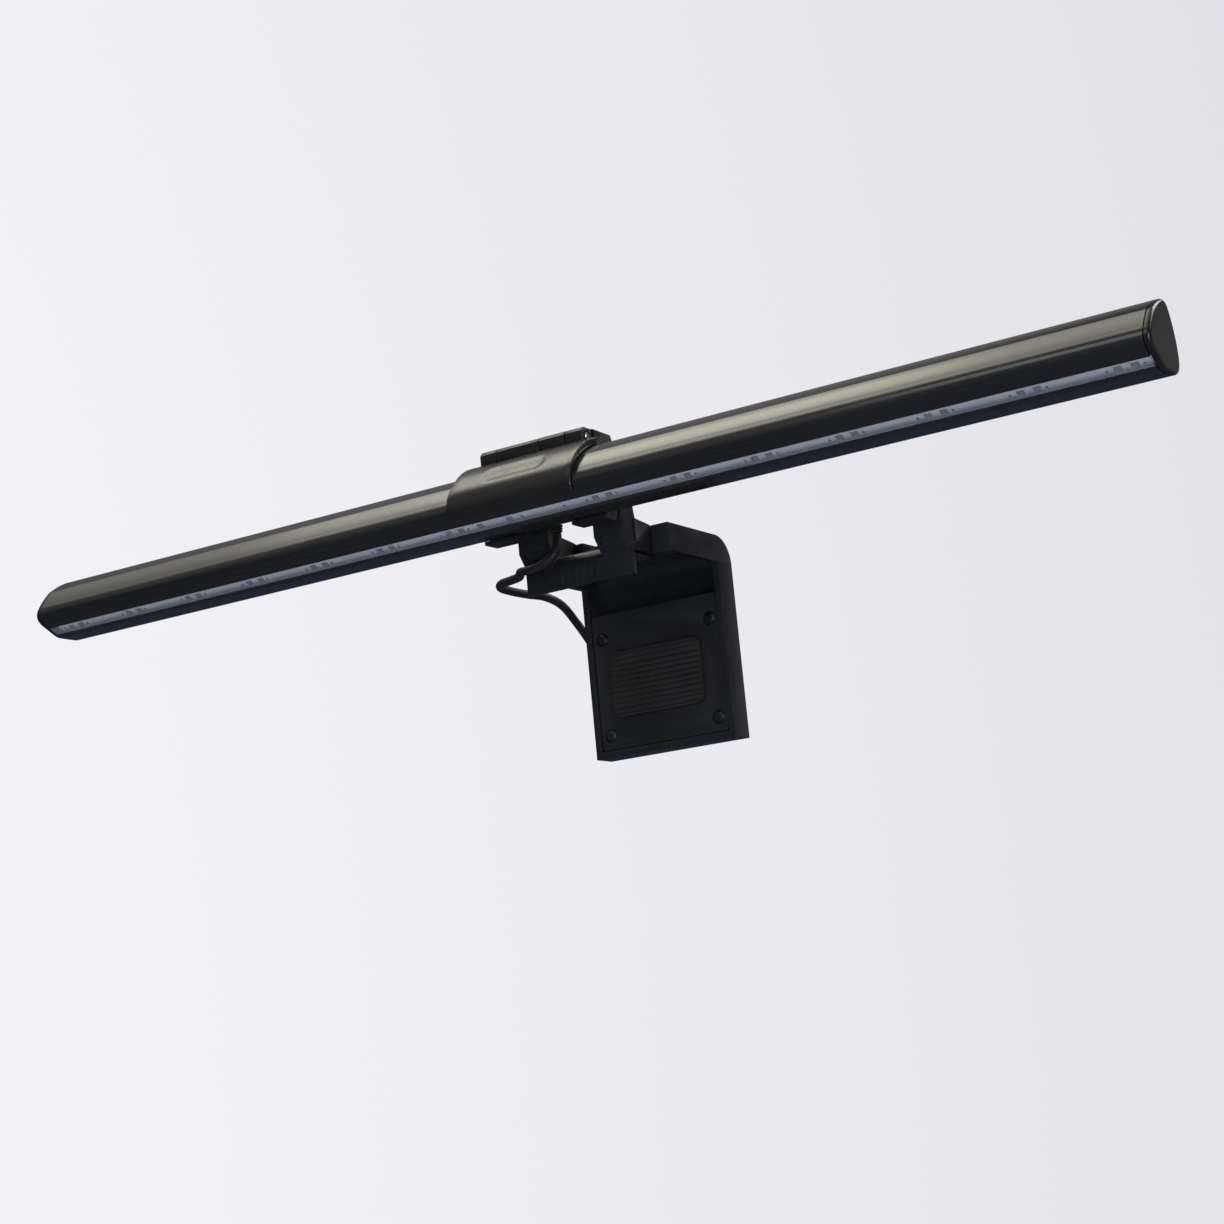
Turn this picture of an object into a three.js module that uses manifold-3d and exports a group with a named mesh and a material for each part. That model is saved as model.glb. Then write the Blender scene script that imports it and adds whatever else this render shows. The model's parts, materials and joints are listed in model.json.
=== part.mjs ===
// Monitor light bar: a long lamp tube that hangs in front of a monitor from a hook clamp.
// Frame, in millimetres: +X along the bar, +Y back over the monitor, +Z up.
// The origin is the middle of the saddle pad's underside, which rests on the monitor's top edge.
import * as THREE from 'three';
import { mergeVertices } from 'three/addons/utils/BufferGeometryUtils.js';
import Module from 'manifold-3d';

const wasm = await Module();
wasm.setup();

// ---------- driving dimensions ----------
const BAR_HALF = 225;
const FIT = 0.3; // gap between neighbouring pieces
const TUBE_WALL = 1.6;
const CAP_FLANGE = 2;
const CAP_PLUG = 3.2;
const CAP_EDGE = 1.2; // rounding of the cap's outer edge

const FACET_TOP = [-45.8, 13.97]; // ends of the flat that holds the light window
const FACET_LOW = [-40.4, 11.2];
const WINDOW_START = 1.2; // along the flat, from its upper end to the window
const LENS_THICK = 2; // inwards from the tube's flat
const LENS_FLANGE = 0.4;
const BOARD_DEPTH = 2.9; // from the tube's flat to the board's lit side
const BOARD_THICK = 1.0;
const BOARD_WIDTH = 9.2;
const BOARD_MIDDLE = 0.8; // from the window's middle line towards its lower edge
const BOARD_HALF = 222;
const LED_PITCH = 30.5;
const LED_PAIRS_PER_SIDE = 7;
const LED_OFFSET = 2.65; // each LED's distance from the middle of its pair
const LED_SIZE = 2.5;
const LED_TALL = 0.25;
const LED_ROW = 2.6; // from the window's middle line towards its lower edge

const TILT_AXIS = [-11.5, 20.4]; // Y, Z of the bar's tilt shaft
const COVER_AXIS = [-30.5, 38]; // Y, Z of the cover's hinge pin
const LEG_AXIS = [8.5, 6.6]; // Y, Z of the rear leg's shaft

const COVER_HALF = 25.5;
const TOUCH_DEPTH = 0.7; // of the shallow finger recess
const BLOCK_HALF = 21.4; // half width of the hinge block and the cradle
const KNUCKLE = 3.1; // from the hinge pin to the knuckles' flat faces
const KNUCKLE_CUTS = [-21.4, -14.6, 3.0, 14.1, 21.4]; // ends of the four knuckles along X
const KNUCKLE_ROUND = 0.9;
const KNUCKLE_CHAMFER = 1.4; // along the knuckles' upper front edge
const HINGE_PIN_R = 1.2;
const CRADLE_SCREW = [16, 22]; // X, Z; one on each side
const PLATE_SCREW = [15, 32.8];

const LIP_HALF = 22.2;
const LIP_FRONT = -10;
const LIP_BACK = -8;
const LIP_BOTTOM = -7.2;
const SADDLE_UNDER = 1.5;
const SADDLE_TOP = 4.8;
const SADDLE_END = 5.5;
const PAD_THICK = 1.2;
const ARM_IN = 10.2;
const ARM_OUT = 21.4;
const ARM_FRONT = -14.5;
const ARM_BACK = -4.4;
const ARM_STEP_Z = 6.9;
const ARM_KNUCKLE_R = 5.5;
const EAR_R = 4.3;
const EAR_OUT = 22;

const TILT_SHAFT_R = 2.4;
const LEG_SHAFT_R = 1.5;
const RUNNING = 0.35; // radial clearance round a shaft

const LEG_HALF = 29.5;
const LEG_FRONT = 3.5;
const LEG_TOP = 11.4;
const LEG_BEND_Y = 36.5;
const LEG_BEND_R = 10;
const LEG_BACK = LEG_BEND_Y + LEG_BEND_R;
const LEG_TIP = -62;
const LEG_SKIN = 2.5;
const LEG_DEPTH = 9.9; // depth of the leg's side walls
const LEG_WEB_Y = 16;
const COVER_BACK = LEG_BACK - 7.8; // back face of the leg's inner cover
const COVER_THICK = 1.6;
const LEG_SCREWS = [[-23, -54], [23, -54], [-23, -18], [23, -18]]; // X, Z

const CORD_EXIT = [-6.7, -11.5]; // X, Y where the cord leaves the lamp
const CORD_EXIT_Z = 12.6;
const CORD_R = 1.6;
const CORD_SIDES = 8;
const CORD_STEP = 6; // about two diameters of cord for each step of its tube
const COIL = { x: -8, z: -32, mid: 19, wide: 10, deep: 13, front: 50.6 };

// ---------- outlines ----------
const vec = ([a, b]) => new THREE.Vector2(a, b);

function circle([a, b], radius, steps = 32) {
  const points = [];
  for (let i = 0; i < steps; i += 1) {
    const angle = (2 * Math.PI * i) / steps;
    points.push([a + radius * Math.cos(angle), b + radius * Math.sin(angle)]);
  }
  return points;
}

function rectangle(a0, b0, a1, b1) {
  return [[a0, b0], [a1, b0], [a1, b1], [a0, b1]];
}

function roundedRectangle(a0, b0, a1, b1, radius, steps = 5) {
  const corners = [[a1 - radius, b0 + radius], [a1 - radius, b1 - radius],
    [a0 + radius, b1 - radius], [a0 + radius, b0 + radius]];
  return corners.flatMap(([a, b], corner) => {
    const points = [];
    for (let i = 0; i <= steps; i += 1) {
      const angle = (corner - 1) * (Math.PI / 2) + (i / steps) * (Math.PI / 2);
      points.push([a + radius * Math.cos(angle), b + radius * Math.sin(angle)]);
    }
    return points;
  });
}

function pathPoints(path, divisions) {
  const points = path.getPoints(divisions).map((p) => [p.x, p.y]);
  return points.filter((p, i) => {
    const next = points[(i + 1) % points.length];
    return Math.hypot(p[0] - next[0], p[1] - next[1]) > 0.01;
  });
}

// Moves a counter-clockwise outline inwards by distance, or outwards if it is negative.
function inset(outline, distance) {
  const count = outline.length;
  return outline.map(([a, b], i) => {
    const before = outline[(i + count - 1) % count];
    const after = outline[(i + 1) % count];
    const n1 = new THREE.Vector2(before[1] - b, a - before[0]).normalize();
    const n2 = new THREE.Vector2(b - after[1], after[0] - a).normalize();
    const middle = n1.clone().add(n2).normalize();
    const reach = distance / Math.max(middle.dot(n1), 0.4);
    return [a + middle.x * reach, b + middle.y * reach];
  });
}

// The tube's outline in Y and Z, counter-clockwise seen from +X.
function tubeOutline() {
  const path = new THREE.Path();
  path.moveTo(...FACET_TOP);
  path.lineTo(...FACET_LOW);
  path.quadraticCurveTo(-39.1, 10.5, -37.2, 10.5);
  path.lineTo(-30.5, 10.5);
  path.bezierCurveTo(-26.6, 10.5, -25.2, 12.6, -24.7, 15.4);
  path.bezierCurveTo(-24.2, 19.6, -25.4, 26, -28.6, 31.2);
  path.bezierCurveTo(-29.6, 32.9, -31.4, 33.6, -33.6, 33.1);
  path.quadraticCurveTo(-38, 31.4, -42.5, 28.2);
  path.bezierCurveTo(-45.2, 25.6, -46.6, 23.8, -47.7, 22.1);
  path.bezierCurveTo(-50.4, 18.6, -49.8, 15.9, ...FACET_TOP);
  return pathPoints(path, 7);
}

function coverOutline() {
  const front = new THREE.SplineCurve([
    [-30.6, 36.9], [-36.5, 35.1], [-41.5, 32.1], [-46.2, 27.6], [-49.3, 23.3], [-50.7, 18.4], [-49.9, 14.9],
  ].map(vec));
  return [...front.getPoints(15).map((p) => [p.x, p.y]), [-46, 13], [-30.6, 20]];
}

// ---------- solids ----------
function toSolid(geometry) {
  const bare = geometry.clone();
  bare.deleteAttribute('normal');
  bare.deleteAttribute('uv');
  const merged = mergeVertices(bare, 1e-4);
  return new wasm.Manifold(new wasm.Mesh({
    numProp: 3,
    vertProperties: Float32Array.from(merged.attributes.position.array),
    triVerts: Uint32Array.from(merged.index.array),
  }));
}

function toGeometry(solid) {
  const mesh = solid.getMesh();
  const geometry = new THREE.BufferGeometry();
  geometry.setAttribute('position', new THREE.BufferAttribute(mesh.vertProperties, 3));
  geometry.setIndex(new THREE.BufferAttribute(mesh.triVerts, 1));
  geometry.computeVertexNormals();
  return geometry;
}

function extrude(outline, depth, columns, origin) {
  const shape = new THREE.Shape(outline.map(vec));
  const geometry = new THREE.ExtrudeGeometry(shape, { depth, bevelEnabled: false });
  const place = new THREE.Matrix4().makeBasis(...columns.map((c) => new THREE.Vector3(...c)));
  geometry.applyMatrix4(place.setPosition(...origin));
  return toSolid(geometry);
}

// Outline in Y and Z, from x0 to x1.
const alongX = (outline, x0, x1) => (
  extrude(outline, x1 - x0, [[0, 1, 0], [0, 0, 1], [1, 0, 0]], [x0, 0, 0]));
// Outline in X and Z, from y0 to y1.
const alongY = (outline, y0, y1) => (
  extrude(outline, y1 - y0, [[1, 0, 0], [0, 0, 1], [0, -1, 0]], [0, y1, 0]));
// Outline in X and Y, from z0 to z1.
const alongZ = (outline, z0, z1) => (
  extrude(outline, z1 - z0, [[1, 0, 0], [0, 1, 0], [0, 0, 1]], [0, 0, z0]));

const box = (x0, x1, y0, y1, z0, z1) => alongX(rectangle(y0, z0, y1, z1), x0, x1);
const bothSides = (make) => [make(-1), make(1)];
const span = (side, a, b) => (side > 0 ? [a, b] : [-b, -a]);
const mirrored = ([x, z], side) => [side * x, z];
const join = (...solids) => solids.flat().reduce((whole, solid) => whole.add(solid));
const cut = (solid, ...tools) => tools.flat().reduce((rest, tool) => rest.subtract(tool), solid);

// A tube along a smooth curve through the points.
function tubeAlong(points, radius, sides, steps) {
  const curve = new THREE.CatmullRomCurve3(points.map((p) => new THREE.Vector3(...p)), false, 'centripetal');
  const section = new THREE.Shape(circle([0, 0], radius, sides).map(vec));
  return toSolid(new THREE.ExtrudeGeometry(section, { steps, extrudePath: curve, bevelEnabled: false }));
}

const FINISHES = {
  anodised: { color: 0x26282b, roughness: 0.38, metalness: 0.85 },
  capPlastic: { color: 0x1b1c1e, roughness: 0.45, metalness: 0 },
  blackPlastic: { color: 0x17181a, roughness: 0.5, metalness: 0 },
  hookPlastic: { color: 0x232428, roughness: 0.42, metalness: 0 },
  coverPlastic: { color: 0x3b3a36, roughness: 0.4, metalness: 0 },
  lens: { color: 0x9fb0c4, roughness: 0.12, metalness: 0 },
  board: { color: 0xc8ced6, roughness: 0.5, metalness: 0 },
  driver: { color: 0x1f4a33, roughness: 0.55, metalness: 0 },
  aluminium: { color: 0xb6b8ba, roughness: 0.4, metalness: 1 },
  steel: { color: 0x9a9ca0, roughness: 0.3, metalness: 1 },
  darkSteel: { color: 0x55585c, roughness: 0.45, metalness: 1 },
  rubber: { color: 0x141414, roughness: 0.9, metalness: 0 },
  cord: { color: 0x18191a, roughness: 0.6, metalness: 0 },
};

const group = new THREE.Group();
group.name = 'monitor_light_bar';

function piece(name, solid, finish) {
  const mesh = new THREE.Mesh(toGeometry(solid), new THREE.MeshStandardMaterial(FINISHES[finish]));
  mesh.name = name;
  group.add(mesh);
}

// ---------- lamp tube ----------
const WIRE_WAY = roundedRectangle(-9, 17, -3, 23, 2); // opening in X and Z between tube and cradle
const OUTLINE = tubeOutline();
const BORE = inset(OUTLINE, TUBE_WALL);
const FACET = vec(FACET_LOW).sub(vec(FACET_TOP)).normalize();
const INWARDS = new THREE.Vector2(-FACET.y, FACET.x);
const WINDOW_WIDE = vec(FACET_LOW).distanceTo(vec(FACET_TOP)) - WINDOW_START;
const WINDOW_MIDDLE = vec(FACET_LOW).addScaledVector(FACET, -WINDOW_WIDE / 2);

// A strip lying along the window, from depth0 to depth1 behind the tube's flat.
// Middle is its middle line's distance from the window's, towards the lower edge.
function strip(width, depth0, depth1, x0, x1, middle = 0) {
  const corner = (along, depth) => {
    const p = WINDOW_MIDDLE.clone().addScaledVector(FACET, along).addScaledVector(INWARDS, depth);
    return [p.x, p.y];
  };
  const half = width / 2;
  const [low, high] = [middle - half, middle + half];
  const outline = [corner(low, depth0), corner(high, depth0), corner(high, depth1), corner(low, depth1)];
  return alongX(outline, x0, x1);
}

function tubeHousing() {
  const half = BAR_HALF - CAP_FLANGE - FIT;
  const shell = cut(alongX(OUTLINE, -half, half), alongX(BORE, -half - 1, half + 1));
  const screwHoles = bothSides((s) => alongY(circle(mirrored(CRADLE_SCREW, s), 1.5, 16), -28, -20));
  return cut(shell, strip(WINDOW_WIDE, -2, TUBE_WALL + 1.4, -half - 1, half + 1), screwHoles,
    alongY(WIRE_WAY, -28, -20));
}

// The cap's flange is a stack of outlines that draw in towards its outer face.
function capFlange() {
  const steps = 3;
  const slices = [];
  for (let i = 0; i < steps; i += 1) {
    const angle = ((i + 0.5) / steps) * (Math.PI / 2);
    const from = CAP_FLANGE - CAP_EDGE + CAP_EDGE * Math.sin((i / steps) * (Math.PI / 2));
    const to = CAP_FLANGE - CAP_EDGE + CAP_EDGE * Math.sin(((i + 1) / steps) * (Math.PI / 2));
    slices.push(alongX(inset(OUTLINE, CAP_EDGE * (1 - Math.cos(angle))), from - 0.05, to));
  }
  return join(alongX(OUTLINE, 0, CAP_FLANGE - CAP_EDGE), slices);
}

function endCap(side) {
  const hollow = alongX(circle([-34.5, 22.5], 6.5, 24), -CAP_PLUG - 1, -1);
  const windowRoom = strip(60, -8, 7, -CAP_PLUG - 1, -FIT);
  const plug = cut(alongX(inset(BORE, FIT), -CAP_PLUG - FIT, 0.1), hollow, windowRoom);
  const cap = join(capFlange(), plug).translate([BAR_HALF - CAP_FLANGE, 0, 0]);
  return side > 0 ? cap : cap.mirror([1, 0, 0]);
}

function lensStrip() {
  const half = BAR_HALF - CAP_FLANGE - 2 * FIT;
  return join(strip(WINDOW_WIDE - 2 * FIT, 0, LENS_THICK, -half, half),
    strip(WINDOW_WIDE + 1.6, TUBE_WALL + FIT, TUBE_WALL + FIT + LENS_FLANGE, -BOARD_HALF, BOARD_HALF));
}

function ledBoard() {
  const led = (x) => (
    strip(LED_SIZE, BOARD_DEPTH - LED_TALL, BOARD_DEPTH + 0.1, x - LED_SIZE / 2, x + LED_SIZE / 2, LED_ROW));
  const back = BOARD_DEPTH + BOARD_THICK;
  const parts = [strip(BOARD_WIDTH, BOARD_DEPTH, back, -BOARD_HALF, BOARD_HALF, BOARD_MIDDLE)];
  for (let i = -LED_PAIRS_PER_SIDE; i <= LED_PAIRS_PER_SIDE; i += 1) {
    for (const step of i === 0 ? [] : [-LED_OFFSET, LED_OFFSET]) {
      parts.push(led(i * LED_PITCH + step));
    }
  }
  parts.push(led(-7.4), led(-19.6));
  return join(parts);
}

function boardCarrier() {
  const back = BOARD_DEPTH + BOARD_THICK + FIT;
  return strip(BOARD_WIDTH, back, back + 2, -BOARD_HALF, BOARD_HALF, BOARD_MIDDLE);
}

function driverBoard() {
  const board = box(-60, 60, -38, -30.5, 22.4, 24);
  const chips = [[-48, -40, 2.2], [-30, -22, 1.4], [-6, 6, 2.6], [22, 34, 3], [44, 52, 1.6]]
    .map(([x0, x1, tall]) => box(x0, x1, -36.8, -31.8, 23.9, 24 + tall));
  return join(board, chips);
}

piece('tube_housing', tubeHousing(), 'anodised');
piece('end_cap_left', endCap(-1), 'capPlastic');
piece('end_cap_right', endCap(1), 'capPlastic');
piece('lens_strip', lensStrip(), 'lens');
piece('led_board', ledBoard(), 'board');
piece('board_carrier', boardCarrier(), 'aluminium');
piece('driver_board', driverBoard(), 'driver');

// ---------- cover and cradle round the tube's middle ----------
const AROUND_TUBE = inset(OUTLINE, -FIT);
const SHELL_END = COVER_AXIS[0] - 0.3;

function knuckle(x0, x1) {
  const [y, z] = COVER_AXIS;
  const steps = 3;
  const [front, top] = [y - KNUCKLE, z + KNUCKLE];
  const outline = roundedRectangle(front, z - KNUCKLE, y + KNUCKLE, top, KNUCKLE_ROUND, steps);
  const chamfer = [[front + KNUCKLE_CHAMFER, top], [front, top - KNUCKLE_CHAMFER]];
  outline.splice(2 * (steps + 1), steps + 1, ...chamfer);
  return alongX(outline, x0, x1);
}

const pinHole = () => alongX(circle(COVER_AXIS, HINGE_PIN_R + RUNNING, 20), -30, 30);
const knuckleSpans = KNUCKLE_CUTS.slice(1).map((end, i) => [KNUCKLE_CUTS[i] + FIT / 2, end - FIT / 2]);

function collarCover() {
  const lowerEnd = alongX([[-60, 13], [-40, 13], [-40, 15.4], [-60, 14.6]], -30, 30);
  const shell = cut(alongX(coverOutline(), -COVER_HALF, COVER_HALF), alongX(AROUND_TUBE, -30, 30),
    box(-30, 30, SHELL_END, -20, 10, 50), lowerEnd);
  const pocket = cut(alongX(coverOutline(), -30, 30), alongX(inset(coverOutline(), TOUCH_DEPTH), -31, 31))
    .intersect(alongZ(roundedRectangle(-13.6, -47.9, 13.8, -41, 2.8), 20, 50));
  const own = [knuckleSpans[1], knuckleSpans[3]].map(([x0, x1]) => knuckle(x0, x1));
  const room = [knuckleSpans[0], knuckleSpans[2]]
    .map(([x0, x1]) => box(x0 - 2 * FIT, x1 + FIT, COVER_AXIS[0] - KNUCKLE - 0.4, -20, 30, 50));
  return cut(join(cut(shell, pocket, room), own), pinHole());
}

function rearCradle() {
  const bodySide = [
    [-27.2, 41.2], [-30.2, 41.2], [-30.2, 22], [-18, 14.5], [-18, 27], [-14.9, 39.2], [-15.8, 40.9],
  ];
  const body = alongX(bodySide, -BLOCK_HALF, BLOCK_HALF);
  const clawSide = [
    [-30.2, 26], [-30.2, 8.9], [-22.8, 8.9], [-21.6, 10.4], [-20.6, 16], [-18, 18], [-18, 26],
  ];
  const low = alongX(clawSide, -24.7, 24.7);
  const claws = cut(low, box(-11.8, 11.8, -40, -15, 5, 12.5));
  const own = [knuckleSpans[0], knuckleSpans[2]].map(([x0, x1]) => knuckle(x0, x1));
  const room = [knuckleSpans[1], knuckleSpans[3]].map(([x0, x1]) => (
    alongX(circle(COVER_AXIS, 4.8, 28), x0 - FIT, x1 + FIT)));
  const shellRoom = box(-30, 30, -40, SHELL_END + FIT, 20, 34.9);
  const barrel = join(alongX(circle(TILT_AXIS, 5), -9.9, 9.9), box(-9.9, 9.9, -19, TILT_AXIS[0], 16.2, 24.6));
  const pocket = box(-17.5, 17.5, -24, -12, 27.6, 38);
  const ledge = box(-18.8, 18.8, -18.9, -12, 26.4, 39.2);
  const wireWay = alongY(WIRE_WAY, -28, -19.5);
  const screwHoles = bothSides((s) => [
    alongY(circle(mirrored(CRADLE_SCREW, s), 1.5, 16), -28, -14),
    alongY(circle(mirrored(CRADLE_SCREW, s), 2.7, 20), -20.2, -14),
  ]).flat();
  const outer = join(cut(join(body, claws), room), own, barrel);
  return cut(outer, alongX(AROUND_TUBE, -40, 40), shellRoom, pinHole(), pocket, ledge,
    wireWay, screwHoles, alongX(circle(TILT_AXIS, TILT_SHAFT_R + RUNNING), -30, 30),
    alongZ(circle(CORD_EXIT, 1.5, 16), 10, 20.4));
}

function cradlePlate() {
  const plate = box(-18.5, 18.5, -18.6, -17.1, 26.7, 38.9);
  return cut(plate, bothSides((s) => alongY(circle(mirrored(PLATE_SCREW, s), 1.3, 16), -20, -10)));
}

function headedScrew(place, y0, y1, shaftR, headR, headThick) {
  const head = alongY(circle(place, headR, 20), y1 - 0.05, y1 + headThick);
  return join(alongY(circle(place, shaftR, 16), y0, y1), head);
}

piece('collar_cover', collarCover(), 'coverPlastic');
piece('rear_cradle', rearCradle(), 'blackPlastic');
piece('cradle_plate', cradlePlate(), 'blackPlastic');
const touchChip = box(-6, 6, -22.3, -20.9, 30, 35);
piece('touch_board', join(box(-16.8, 16.8, -23.4, -22.2, 28, 37.6), touchChip), 'driver');
piece('cover_hinge_pin', alongX(circle(COVER_AXIS, HINGE_PIN_R, 20), -21.2, 21.6), 'steel');
for (const [side, word] of [[-1, 'left'], [1, 'right']]) {
  const [cradleScrew, plateScrew] = [mirrored(CRADLE_SCREW, side), mirrored(PLATE_SCREW, side)];
  piece(`cradle_screw_${word}`, headedScrew(cradleScrew, -25.8, -19.9, 1.2, 2.4, 1.2), 'darkSteel');
  piece(`plate_screw_${word}`, headedScrew(plateScrew, -20.5, -16.8, 1, 1.9, 0.9), 'darkSteel');
}

// ---------- tilt shaft between the hook's arms ----------
piece('tilt_shaft', alongX(circle(TILT_AXIS, TILT_SHAFT_R), -20.6, 20.6), 'steel');

// ---------- hook clamp ----------
function armProfile() {
  return [[ARM_FRONT, TILT_AXIS[1]], [ARM_FRONT, ARM_STEP_Z], [LIP_FRONT, 0.8], [LIP_BACK, SADDLE_UNDER],
    [ARM_BACK, SADDLE_UNDER], [ARM_BACK, 12], [TILT_AXIS[0] + ARM_KNUCKLE_R, TILT_AXIS[1]]];
}

// The lip hangs down in front, turns back through a sloping face and becomes the saddle.
function lipAndSaddle() {
  const path = new THREE.Path();
  path.moveTo(LIP_FRONT, LIP_BOTTOM);
  path.lineTo(LIP_BACK, LIP_BOTTOM);
  path.lineTo(LIP_BACK, SADDLE_UNDER);
  path.lineTo(SADDLE_END, SADDLE_UNDER);
  path.lineTo(SADDLE_END, SADDLE_TOP);
  path.lineTo(-6.2, SADDLE_TOP);
  path.quadraticCurveTo(-7.2, SADDLE_TOP, -7.9, 3.95);
  path.lineTo(-9.5, 2.05);
  path.quadraticCurveTo(LIP_FRONT, 1.4, LIP_FRONT, 0.5);
  return alongX(pathPoints(path, 4), -LIP_HALF, LIP_HALF);
}

const legBore = (half) => alongX(circle(LEG_AXIS, LEG_SHAFT_R + RUNNING, 20), -half, half);

function hookBracket() {
  const arms = bothSides((s) => {
    const [x0, x1] = span(s, ARM_IN, ARM_OUT);
    return join(alongX(armProfile(), x0, x1), alongX(circle(TILT_AXIS, ARM_KNUCKLE_R), x0, x1));
  });
  const hollows = bothSides((s) => alongX(
    [[-16, ARM_STEP_Z], [ARM_FRONT + 1.3, ARM_STEP_Z], [LIP_FRONT, 2.3], [LIP_FRONT, -1], [-16, -1]],
    ...span(s, ARM_IN + 1.3, ARM_OUT - 1.3)));
  const ears = bothSides((s) => {
    const [x0, x1] = span(s, ARM_IN, EAR_OUT);
    const [y, z] = LEG_AXIS;
    const plate = [
      [-6, SADDLE_UNDER], [y - 4, SADDLE_UNDER], [y, z - EAR_R], [y, z + EAR_R], [3, 11.9], [-6, 12.9],
    ];
    return join(alongX(plate, x0, x1), alongX(circle(LEG_AXIS, EAR_R), x0, x1));
  });
  const ribs = [-7.5, -4.5, -1.5, 1.5, 4.5, 7.5]
    .map((x) => box(x - 0.4, x + 0.4, LIP_FRONT - 0.4, LIP_FRONT + 0.5, -5.6, 0.4));
  const solid = join(lipAndSaddle(), arms.map((arm, i) => cut(arm, hollows[i])), ears, ribs);
  const tiltBore = alongX(circle(TILT_AXIS, TILT_SHAFT_R + RUNNING), -30, 30);
  return cut(solid, tiltBore, legBore(30));
}

piece('hook_bracket', hookBracket(), 'hookPlastic');
const lipPad = alongY(roundedRectangle(-20.5, -6.6, 20.5, -0.6, 1), LIP_BACK + FIT, LIP_BACK + FIT + 1);
piece('lip_pad', lipPad, 'rubber');
piece('saddle_pad', alongZ(roundedRectangle(-20.5, -5, 20.5, 5, 1.2), 0, PAD_THICK), 'rubber');

for (const [side, word] of [[-1, 'left'], [1, 'right']]) {
  const [capIn, capOut] = span(side, ARM_OUT + FIT, ARM_OUT + FIT + 1.2);
  piece(`shaft_cap_${word}`, alongX(circle(TILT_AXIS, 4.2, 28), capIn, capOut), 'darkSteel');
}

// ---------- rear leg ----------
// The leg's side outline: back along the top, down round the bend, and up again inside by depth.
function legOutline(depth, startY, tip) {
  const path = new THREE.Path();
  const inner = Math.max(LEG_BEND_R - depth, 0.4);
  path.moveTo(startY, LEG_TOP);
  path.lineTo(startY, LEG_TOP - depth);
  path.lineTo(LEG_BACK - depth - inner, LEG_TOP - depth);
  path.absarc(LEG_BACK - depth - inner, LEG_TOP - depth - inner, inner, Math.PI / 2, 0, true);
  path.lineTo(LEG_BACK - depth, tip);
  path.lineTo(LEG_BACK, tip);
  path.absarc(LEG_BEND_Y, LEG_TOP - LEG_BEND_R, LEG_BEND_R, 0, Math.PI / 2, false);
  return pathPoints(path, 10);
}

function rearLeg() {
  const skin = alongX(legOutline(LEG_SKIN, LEG_WEB_Y, LEG_TIP), -LEG_HALF, LEG_HALF);
  const side = legOutline(LEG_DEPTH, LEG_WEB_Y, LEG_TIP);
  const sides = bothSides((s) => alongX(side, ...span(s, LEG_HALF - LEG_SKIN, LEG_HALF)));
  const bottom = box(-LEG_HALF, LEG_HALF, LEG_BACK - LEG_DEPTH, LEG_BACK, LEG_TIP, LEG_TIP + LEG_SKIN);
  const web = box(-LEG_HALF, LEG_HALF, LEG_WEB_Y - 1.6, LEG_WEB_Y + 0.6, LEG_TOP - LEG_DEPTH, LEG_TOP);
  const walls = bothSides((s) => [
    box(...span(s, LIP_HALF + FIT, LEG_HALF), LEG_FRONT, LEG_WEB_Y, LEG_TOP - LEG_DEPTH, LEG_TOP),
    box(...span(s, 7.5, ARM_IN - FIT), LEG_FRONT + 2.3, LEG_WEB_Y, 5.4, LEG_TOP),
  ]).flat();
  const bosses = LEG_SCREWS.map((at) => alongY(circle(at, 3, 20), LEG_BACK - 7.5, LEG_BACK - 1));
  const holes = LEG_SCREWS.map((at) => alongY(circle(at, 1.4, 16), LEG_BACK - 9, LEG_BACK - 2));
  return cut(join(skin, sides, bottom, web, walls, bosses), holes, legBore(28));
}

function legCover() {
  const inside = LEG_HALF - LEG_SKIN - FIT;
  const outline = roundedRectangle(-inside, LEG_TIP + LEG_SKIN + FIT, inside, -9, 1);
  const holes = LEG_SCREWS.flatMap((at) => [
    alongY(circle(at, 1.5, 16), 30, 45), alongY(circle(at, 2.6, 20), 30, COVER_BACK - 0.8)]);
  return cut(alongY(outline, COVER_BACK - COVER_THICK, COVER_BACK), holes);
}

piece('rear_leg', rearLeg(), 'hookPlastic');
piece('leg_weight', box(-18.5, 18.5, COVER_BACK + FIT, LEG_BACK - LEG_SKIN - FIT, -56, -12), 'steel');
piece('leg_cover', legCover(), 'blackPlastic');
const padBack = COVER_BACK - COVER_THICK - FIT;
piece('rear_pad', alongY(roundedRectangle(-19, -48, 19, -24, 3), padBack - 2, padBack), 'rubber');
piece('leg_shaft', alongX(circle(LEG_AXIS, LEG_SHAFT_R, 20), -26.8, 26.8), 'steel');
LEG_SCREWS.forEach((at, i) => {
  const head = alongY(circle(at, 2.3, 20), COVER_BACK - 1.5, COVER_BACK - 1.1);
  const stem = alongY(circle(at, 1.1, 16), COVER_BACK - 1.2, COVER_BACK + 4);
  piece(`leg_screw_${i + 1}`, join(head, stem), 'darkSteel');
});

// ---------- supply cord ----------
const sleeve = alongZ(circle(CORD_EXIT, 2.3, 20), CORD_EXIT_Z, 15.1);
piece('strain_relief', cut(sleeve, alongZ(circle(CORD_EXIT, 1.1, 12), 10, 14)), 'rubber');

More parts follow.
